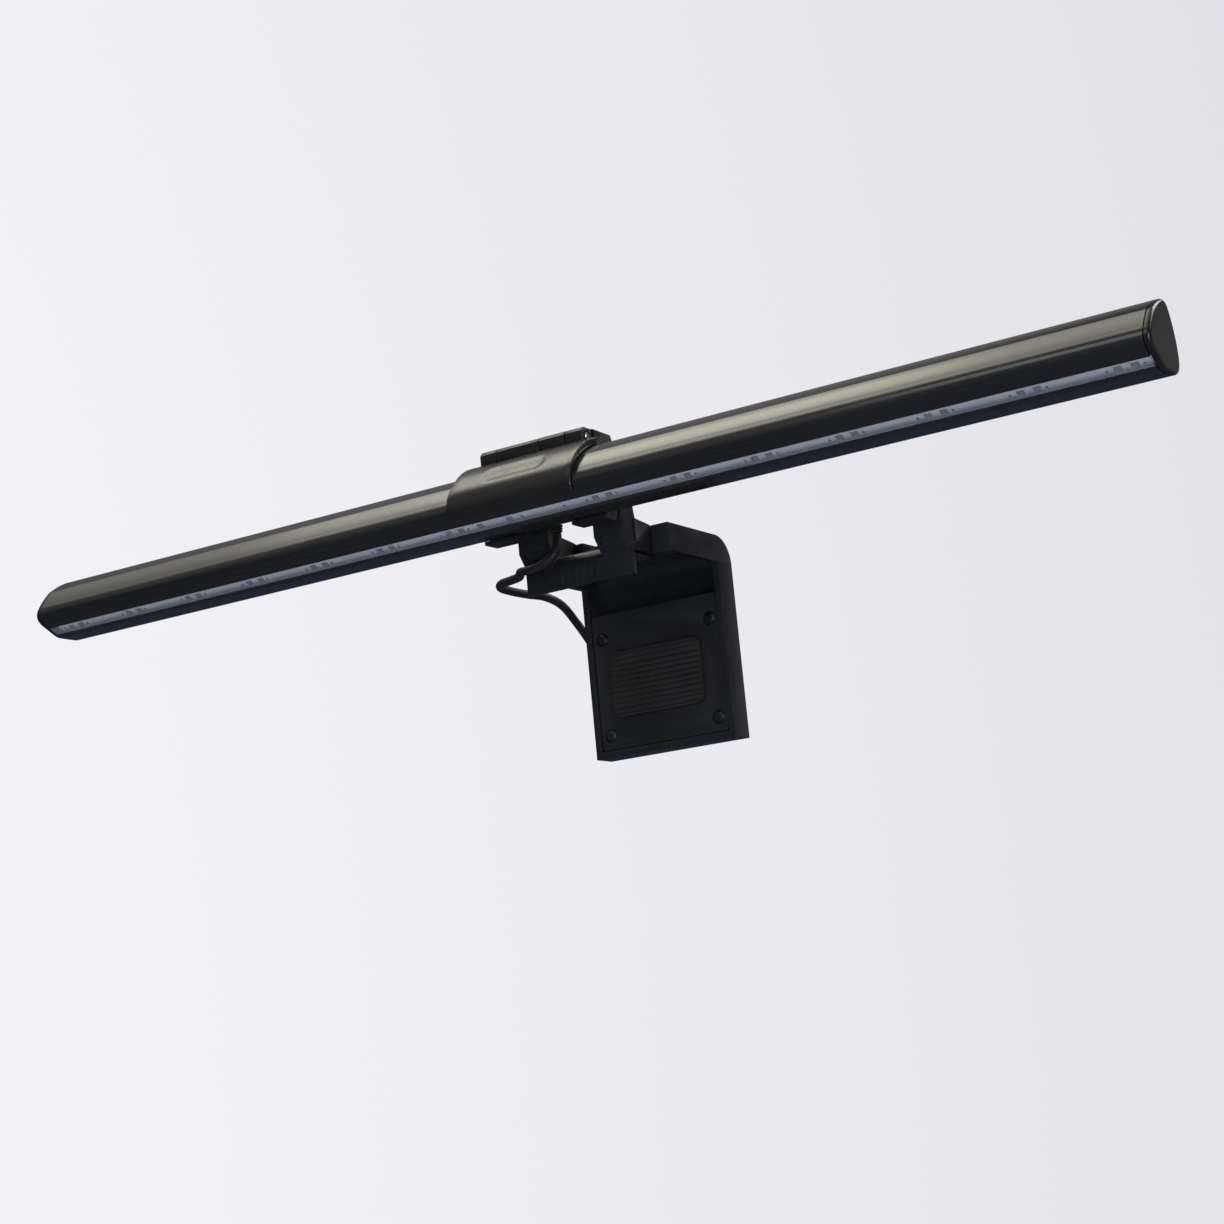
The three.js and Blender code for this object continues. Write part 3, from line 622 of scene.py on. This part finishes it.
def tube_along(name, path, radius, sides=14):
    """A round tube whose sections turn with the path without twisting."""
    side = (path[1] - path[0]).orthogonal().normalized()
    rings = []
    for i, point in enumerate(path):
        ahead = path[min(i + 1, len(path) - 1)] - path[max(i - 1, 0)]
        ahead.normalize()
        side = (side - ahead * side.dot(ahead)).normalized()
        other = ahead.cross(side)
        rings.append([tuple(point + (side * math.cos(a) + other * math.sin(a)) * radius)
                      for a in (2 * math.pi * k / sides for k in range(sides))])
    obj = loft(name, rings)
    smooth(obj, 50)
    return obj


def make_cord(paint):
    path = smooth_path(LEAD + coil_points() + TAIL)
    cord = tube_along("supply_cord", path, CORD_RADIUS)
    cord.data.materials.append(paint["cord"])
    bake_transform(cord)
    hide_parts("cord_lead", "cord_coil", "cord_tail")
    length = sum((b - a).length for a, b in zip(path, path[1:])) * MM
    print("cord length", round(length, 4))
    return cord, [p * MM for p in path]


def make_plug(paint):
    low, high = box_mm("plug_body")
    middle = (low + high) / 2
    mouth = low.z + 19
    body = along_z("plug_grip", rounded_rectangle(low.x, low.y, high.x, high.y, 2.4), low.z, mouth)
    for i in range(5):
        z = low.z + 5.5 + i * 2.2
        groove = along_z("groove", rounded_rectangle(low.x - 1, low.y + 1.2, high.x + 1, high.y - 1.2, 0.6),
                         z, z + 0.9)
        keep = along_z("keep", rounded_rectangle(low.x + 0.6, low.y - 2, high.x - 0.6, high.y + 2, 0.6), z - 1, z + 2)
        boolean(groove, keep)
        boolean(body, groove)
    bevel(body, 0.45, 3)
    smooth(body)
    dress(body, paint["rubber"], "clamp_base", ["plug_body"])
    profile = [(2.9, mouth - 0.2), (2.9, mouth + 0.4)]
    for i in range(3):
        base = mouth + 0.7 + i * 1.2
        profile += [(2.2, base), (2.2, base + 0.4), (2.7 - 0.1 * i, base + 0.5), (2.7 - 0.1 * i, base + 0.9)]
    profile += [(2.1, high.z - 0.1), (1.75, high.z)]
    boot = turned("plug_boot", profile, (middle.x, 68.4, 0), "z")
    smooth(boot, 40)
    dress(boot, paint["rubber"], "clamp_base")
    return [body, boot, make_plug_shell(paint), make_plug_tongue(paint)]


def make_plug_shell(paint):
    low, high = box_mm("plug_shell")
    shell = along_z("plug_shell_sheet", rounded_rectangle(low.x, low.y, high.x, high.y, 0.5), low.z, high.z)
    hollow = rounded_rectangle(low.x + 0.35, low.y + 0.35, high.x - 0.35, high.y - 0.35, 0.3)
    boolean(shell, along_z("hollow", hollow, low.z - 1, high.z - 1))
    for side in (-1, 1):
        x = (low.x + high.x) / 2 + side * 2.6
        window = along_y("window", rounded_rectangle(x - 1.1, low.z + 4.6, x + 1.1, low.z + 6.9, 0.2), low.y - 1, high.y + 1)
        boolean(shell, window)
    bevel(shell, 0.08, 2)
    smooth(shell)
    return dress(shell, paint["shell"], "clamp_base", ["plug_shell"])


def make_plug_tongue(paint):
    low, high = box_mm("plug_shell")
    tongue = along_z("plug_tongue", rounded_rectangle(low.x + 0.6, low.y + 0.45, high.x - 0.6, low.y + 2.3, 0.2),
                     low.z + 0.6, high.z - 1.2)
    bevel(tongue, 0.15, 2)
    smooth(tongue)
    dress(tongue, paint["rubber"], "clamp_base")
    contacts = []
    for i in range(4):
        x = low.x + 2.5 + i * 2.33
        contacts.append(along_z(f"plug_contact_{i + 1}", rounded_rectangle(x - 0.5, low.y + 2.3, x + 0.5, low.y + 2.42, 0.05),
                                low.z + 1.4, high.z - 2.4))
    for contact in contacts:
        smooth(contact)
        dress(contact, paint["gold"], "clamp_base")
    return tongue


def make_tie(paint):
    tie = softened("cord_tie", 0.3)
    return dress(tie, paint["tie"], "clamp_base", ["cord_tie"])


def make_strain_relief(paint):
    low, high = box_mm("strain_relief")
    x, y = CORD_START[0], CORD_START[1]
    top = high.z
    profile = [(0.4, top), (2.25, top), (2.25, top - 0.5)]
    for i in range(2):
        z = top - 0.7 - i * 0.75
        radius = 2.15 - i * 0.12
        profile += [(radius - 0.35, z), (radius - 0.35, z - 0.3), (radius, z - 0.4), (radius, z - 0.7)]
    profile += [(1.85, low.z + 0.05), (1.7, low.z)]
    relief = turned("strain_relief_sleeve", profile, (x, y, 0), "z", 32)
    smooth(relief, 40)
    dress(relief, paint["rubber"], "lamp", ["strain_relief"])


# ---------- lamp tube ----------
def make_tube(paint):
    """A C-section with the window slot open, and small chamfers at both ends."""
    inner = inset(OUTLINE, WALL)
    half = WINDOW_WIDE / 2
    section = OUTLINE[1:] + [OUTLINE[0], on_facet(-half, 0), on_facet(-half, WALL)]
    section += [inner[0]] + inner[:1:-1] + [inner[1], on_facet(half, WALL)]
    tube = along_x("tube_shell", section, -TUBE_HALF, TUBE_HALF)
    for side in (-1, 1):
        x = side * 16
        boolean(tube, along_y("hole", arc((x, 22), 1.5, 0, 345, 23), -28, -20))
    bevel(tube, 0.15, 2, 40)
    smooth(tube, 6.6)
    dress(tube, paint["tube"], "lamp", ["tube_housing"])


def make_caps(paint):
    for side, node in ((-1, "end_cap_left"), (1, "end_cap_right")):
        face = BAR_HALF - CAP_FLANGE
        rings = [(1.9, CAP_INNER), (1.9, face), (0.25, face), (0.08, face), (0, face + 0.1), (0, BAR_HALF - CAP_EDGE)]
        for i in range(1, 9):
            angle = math.radians(90 * i / 8)
            rings.append((CAP_EDGE * (1 - math.cos(angle)), BAR_HALF - CAP_EDGE + CAP_EDGE * math.sin(angle)))
        rings.append((1.6, BAR_HALF))
        cap = loft(node + "_moulded", [[(side * x, y, z) for y, z in inset(OUTLINE, d)] for d, x in rings])
        room = [on_facet(*p) for p in ((-30, -8), (30, -8), (30, 7), (-30, 7))]
        boolean(cap, along_x("window_room", room, *sorted((side * (CAP_INNER - 1), side * (face - 0.3)))))
        smooth(cap, 24)
        dress(cap, paint["cap"], "lamp", [node])


def make_lens(paint):
    half = WINDOW_WIDE / 2 - 0.3
    flange = WINDOW_WIDE / 2 + 0.8
    section = [on_facet(*p) for p in (
        (-half, 0.15), (-half + 0.15, 0), (half - 0.15, 0), (half, 0.15), (half, 1.9),
        (flange, 1.9), (flange, 2.3), (-flange, 2.3), (-flange, 1.9), (-half, 1.9))]
    lens = along_x("lens_cover", section, -LENS_HALF, LENS_HALF)
    smooth(lens, 20)
    dress(lens, paint["lens"], "lamp", ["lens_strip"])


def facet_block(name, x, along, size_x, size_along, depth, tall):
    """A small block that stands tall out of the LED board towards the window."""
    outline = [on_facet(along + a * size_along / 2, depth - b * tall) for a, b in ((-1, 0), (1, 0), (1, 1), (-1, 1))]
    return along_x(name, outline, x - size_x / 2, x + size_x / 2)


def joined(name, objects):
    work = bmesh.new()
    for obj in objects:
        work.from_mesh(obj.data)
        bpy.data.objects.remove(obj)
    mesh = bpy.data.meshes.new(name)
    work.to_mesh(mesh)
    work.free()
    obj = bpy.data.objects.new(name, mesh)
    bpy.context.scene.collection.objects.link(obj)
    return obj


def make_led_board(paint):
    board = facet_block("led_board_plate", 0, BOARD_MIDDLE, 2 * BOARD_HALF, BOARD_WIDTH, BOARD_DEPTH + 1, 1)
    bevel(board, 0.1, 1)
    dress(board, paint["board"], "lamp", ["led_board"])
    packages, small = [], []
    places = [i * LED_PITCH for i in range(-7, 8) if i]
    for x in places:
        for step in (-LED_OFFSET, LED_OFFSET):
            packages.append(facet_block("led", x + step, LED_ROW, 2.5, 2.5, BOARD_DEPTH, 0.25))
        for step in (-6.2, 5.6):
            small.append(facet_block("resistor", x + step, LED_ROW, 0.7, 1.0, BOARD_DEPTH, 0.25))
    packages += [facet_block("led", x, LED_ROW, 2.5, 2.5, BOARD_DEPTH, 0.25) for x in (-7.4, -19.6)]
    small += [facet_block("part", x, LED_ROW, 1.0, 1.0, BOARD_DEPTH, 0.25) for x in (-2.3, 15)]
    leds = joined("led_packages", packages)
    bevel(leds, 0.06, 1)
    dress(leds, paint["led"], "lamp")
    resistors = joined("board_resistors", small)
    bevel(resistors, 0.05, 1)
    dress(resistors, paint["chip"], "lamp")


def repaint_inner_parts(paint):
    for node, finish in (("board_carrier", "carrier"), ("driver_board", "driver"), ("touch_board", "driver"),
                         ("leg_weight", "dark_steel")):
        NODES[node].data.materials.clear()
        NODES[node].data.materials.append(paint[finish])


# ---------- cover and cradle ----------
COVER_FRONT = [(-30.8, 36.85), (-36.5, 35.1), (-41.5, 32.1), (-46.2, 27.6), (-49.3, 23.3), (-50.6, 18.4), (-49.9, 15.05)]
COVER_TABS = [(-14.45, 2.85), (14.25, 21.25)]
CRADLE_TABS = [(-21.25, -14.75), (3.15, 13.95)]
KNUCKLE = 3.1
KNUCKLE_CHAMFER = 1.4
TOUCH_HALF = (13.9, 5.4)
TOUCH_MIDDLE = 16.4
TOUCH_DEPTH = 0.36


def touch_depth(x, along):
    """How far the cover dips at a point of its touch recess, a rounded rectangle with soft edges.
    Along is the distance down the cover's curved side from its hinge."""
    corner, soft = 4.4, 2.4
    dx = abs(x) - TOUCH_HALF[0] + corner
    dy = (abs(along - TOUCH_MIDDLE) - TOUCH_HALF[1]) * 0.6 + corner
    distance = math.hypot(max(dx, 0), max(dy, 0)) + min(max(dx, dy), 0) - corner
    share = min(max(-distance / soft, 0), 1)
    return TOUCH_DEPTH * share * share * (3 - 2 * share)


def cover_ring(x, draw_in):
    outer = [(p.y, p.z) for p in smooth_path([(0, y, z) for y, z in COVER_FRONT], 0.45)]
    inner = []
    for y, z in reversed(inset(OUTLINE, -0.3)):
        if y > outer[0][0] and inner:
            break
        if z > outer[-1][1] + 0.1:
            inner.append((y, z))
    ring = inset(outer + inner, draw_in)
    count = len(outer)
    dipped = []
    travel = 0
    for i, (y, z) in enumerate(ring):
        if i:
            travel += math.dist(ring[i - 1], ring[i])
        depth = touch_depth(x, travel) if 0 < i < count - 1 else 0
        if depth:
            before, after = Vector(ring[i - 1]), Vector(ring[i + 1])
            along = (after - before).normalized()
            y, z = y - along.y * depth, z + along.x * depth
        dipped.append((x, y, z))
    return dipped


def knuckle_outline():
    """A square with rounded corners round the hinge pin, its upper front corner cut off flat."""
    y, z = COVER_AXIS
    front, top = y - KNUCKLE, z + KNUCKLE
    steps = 5
    outline = rounded_rectangle(front, z - KNUCKLE, y + KNUCKLE, top, 0.9, steps)
    cut = 2 * (steps + 1)
    outline[cut:cut + steps + 1] = [(front + KNUCKLE_CHAMFER, top), (front, top - KNUCKLE_CHAMFER)]
    return outline


def make_cover(paint):
    half = box_mm("collar_cover")[1].x
    edge = 0.35
    ends = [(half - edge * (1 - math.sin(a)), edge * (1 - math.cos(a))) for a in (math.radians(d) for d in (90, 60, 30, 0))]
    flats = [i * 0.75 for i in range(-30, 31)]
    places = [(-x, d) for x, d in ends] + [(x, 0) for x in flats] + [(x, d) for x, d in reversed(ends)]
    cover = loft("cover_shell", [cover_ring(x, d) for x, d in places])
    y, z = COVER_AXIS
    for x0, x1 in CRADLE_TABS:
        room = rounded_rectangle(y - KNUCKLE - 0.4, 30, y + 9, 50, 0.3, 3)
        boolean(cover, along_x("room", room, x0 - 0.6, x1 + 0.3))
    smooth(cover, 30)
    dress(cover, paint["cover"], "cover", ["collar_cover"])
    for i, (x0, x1) in enumerate(COVER_TABS):
        tab = along_x(f"cover_knuckle_{i + 1}", knuckle_outline(), x0, x1)
        boolean(tab, along_x("pin", arc((y, z), 1.55, 0, 350, 35), x0 - 1, x1 + 1))
        bevel(tab, 0.25, 3, 40)
        smooth(tab, 35)
        dress(tab, paint["cradle"], "cover")


def make_cradle(paint):
    cradle = softened("rear_cradle", 0.3, 3)
    dress(cradle, paint["cradle"], "lamp", ["rear_cradle"])
    plate = softened("cradle_plate", 0.35, 3)
    dress(plate, paint["plate"], "lamp", ["cradle_plate"])


def shaft(name, node, axis, paint, body, chamfer=0.3):
    low, high = box_mm(node)
    radius = (high.z - low.z) / 2
    profile = [(0.1, low.x), (radius - chamfer, low.x), (radius, low.x + chamfer),
               (radius, high.x - chamfer), (radius - chamfer, high.x), (0.1, high.x)]
    obj = turned(name, profile, (0, *axis), "x")
    smooth(obj, 30)
    dress(obj, paint, body, [node])


def screw(node, paint, body, facing):
    """A pan-head screw with a cross recess; facing is +1 when the head looks along +Y."""
    low, high = box_mm(node)
    radius = (high.x - low.x) / 2
    x, z = (low.x + high.x) / 2, (low.z + high.z) / 2
    top = high.y if facing > 0 else low.y
    tip = low.y if facing > 0 else high.y
    head = 1.1
    profile = [(0.05, top), (radius * 0.55, top), (radius * 0.85, top - facing * 0.2),
               (radius, top - facing * 0.5), (radius, top - facing * head), (radius * 0.46, top - facing * head)]
    for i in range(4):
        y = top - facing * (head + 0.3 + i * 0.6)
        profile += [(radius * 0.46, y), (radius * 0.38, y - facing * 0.3)]
    profile += [(radius * 0.38, tip), (0.05, tip)]
    obj = turned(node + "_turned", profile, (x, 0, z), "y", 32)
    deep = top - facing * 0.55
    y0, y1 = sorted((top + facing * 0.5, deep))
    for wide, tall in ((radius * 0.55, 0.22), (0.22, radius * 0.55)):
        boolean(obj, along_y("slot", rounded_rectangle(x - wide, z - tall, x + wide, z + tall, 0.1, 2), y0, y1))
    smooth(obj, 30)
    dress(obj, paint, body, [node])


def make_fasteners(paint):
    for word in ("left", "right"):
        screw(f"cradle_screw_{word}", paint["dark_steel"], "lamp", 1)
        screw(f"plate_screw_{word}", paint["dark_steel"], "lamp", 1)
    for i in range(1, 5):
        screw(f"leg_screw_{i}", paint["dark_steel"], "rear_leg", -1)
    shaft("hinge_pin_turned", "cover_hinge_pin", COVER_AXIS, paint["steel"], "lamp")
    shaft("tilt_shaft_turned", "tilt_shaft", TILT_AXIS, paint["steel"], "clamp_base")
    shaft("leg_shaft_turned", "leg_shaft", LEG_AXIS, paint["steel"], "clamp_base")
    for side, node in ((-1, "shaft_cap_left"), (1, "shaft_cap_right")):
        low, high = box_mm(node)
        inner, outer = (low.x, high.x) if side > 0 else (high.x, low.x)
        radius = (high.z - low.z) / 2
        profile = [(0.05, inner), (radius - 0.1, inner), (radius, inner + side * 0.1), (radius, inner + side * 0.5),
                   (radius - 0.35, outer - side * 0.2), (radius - 0.8, outer), (1.9, outer), (1.6, outer - side * 0.35),
                   (0.05, outer - side * 0.35)]
        cap = turned(node + "_turned", profile, (0, *TILT_AXIS), "x")
        smooth(cap, 30)
        dress(cap, paint["dark_steel"], "clamp_base", [node])


# ---------- hook clamp and leg ----------
def make_hook(paint):
    hook = softened("hook_bracket", 0.24, 3)
    dress(hook, paint["hook"], "clamp_base", ["hook_bracket"])


def ribbed_pad(node, body, paint, axis, ribs):
    """A rubber pad with shallow grooves across its face; axis is the way its face looks."""
    low, high = box_mm(node)
    pad = softened(node, 0.2, 2)
    for i in range(ribs):
        place = (i + 0.5) / ribs
        if axis == "z":
            y = low.y + (high.y - low.y) * place
            groove = along_x("groove", [(y - 0.3, low.z - 0.5), (y + 0.3, low.z - 0.5), (y, low.z + 0.3)], low.x - 1, high.x + 1)
        else:
            z = low.z + (high.z - low.z) * place
            face, deep = (high.y + 0.5, high.y - 0.3) if axis == "y" else (low.y - 0.5, low.y + 0.4)
            groove = along_x("groove", [(face, z - 0.4), (face, z + 0.4), (deep, z)], low.x - 1, high.x + 1)
        boolean(pad, groove)
    smooth(pad, 30)
    dress(pad, paint["rubber"], body, [node])


def make_leg(paint):
    leg = softened("rear_leg", 0.5, 4)
    dress(leg, paint["hook"], "rear_leg", ["rear_leg"])
    cover = softened("leg_cover", 0.25, 2)
    dress(cover, paint["plate"], "rear_leg", ["leg_cover"])
    ribbed_pad("rear_pad", "rear_leg", paint, "-y", 12)
    ribbed_pad("lip_pad", "clamp_base", paint, "y", 5)
    ribbed_pad("saddle_pad", "clamp_base", paint, "z", 7)


# ---------- stage ----------
def make_floor():
    size, place = 2.4, -1.0
    floor = new_object("floor", [(x * size / MM, y * size / MM, place / MM) for x, y in ((-1, -1), (1, -1), (1, 1), (-1, 1))],
                       [(0, 1, 2, 3)])
    paint = Paint("pale_floor", (0.7, 0.7, 0.71), 0.8)
    paint.tint(paint.noise(3, detail=4), (0.68, 0.68, 0.69), (0.73, 0.73, 0.74))
    floor.data.materials.append(paint.material)
    floor.visible_glossy = False


def set_view():
    """Plain display colours, with no film curve."""
    bpy.context.scene.view_settings.view_transform = "Standard"


add_camera()
set_view()
materials = make_materials()
supply_cord, cord_path = make_cord(materials)
plug_pieces = make_plug(materials)
cord_tie = make_tie(materials)
make_strain_relief(materials)
make_tube(materials)
make_caps(materials)
make_lens(materials)
make_led_board(materials)
repaint_inner_parts(materials)
make_cover(materials)
make_cradle(materials)
make_fasteners(materials)
make_hook(materials)
make_leg(materials)
add_lights()
add_world()
make_floor()
